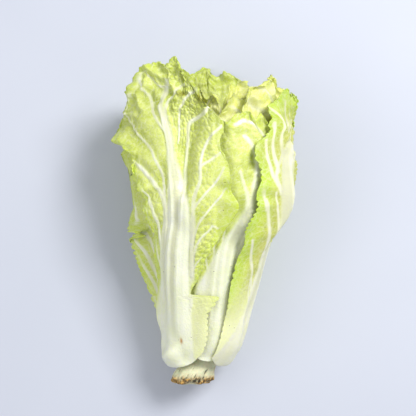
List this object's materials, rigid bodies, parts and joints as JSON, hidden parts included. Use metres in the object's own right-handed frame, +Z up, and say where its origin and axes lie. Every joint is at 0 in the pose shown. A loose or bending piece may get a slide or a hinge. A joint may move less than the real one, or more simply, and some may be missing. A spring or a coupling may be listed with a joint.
{
  "type": "chinese cabbage",
  "caption": "Whole napa cabbage lying on its side: a cut stem, a dense heart and broad ribbed leaves with frilled edges.",
  "frame": {"origin": "centre of the bounding box in plan, at the level of the surface that the head lies on", "axes": "+Y from the cut stem to the leaf tips, +X to the right seen from above with the stem nearest, +Z up"},
  "size_m": [0.1848, 0.353, 0.1495],
  "materials": {
    "stem": "rough cut plant tissue, cream with a brown rim",
    "heart": "crisp pale yellow leaf",
    "inner_leaf": "crisp pale yellow-green leaf",
    "outer_leaf": "crisp yellow-green leaf with a white rib",
    "top_leaf": "crisp pale green leaf with a broad white rib"
  },
  "bodies": {
    "root": {"stem": "stem", "heart": "heart", "inner_leaf_1": "inner_leaf", "inner_leaf_2": "inner_leaf", "inner_leaf_3": "inner_leaf", "inner_leaf_4": "inner_leaf", "inner_leaf_5": "inner_leaf", "inner_leaf_6": "inner_leaf", "middle_leaf": "top_leaf", "top_leaf": "top_leaf", "right_leaf": "outer_leaf", "side_leaf": "outer_leaf", "left_leaf": "outer_leaf", "lower_leaf": "outer_leaf"}
  },
  "joints": []
}
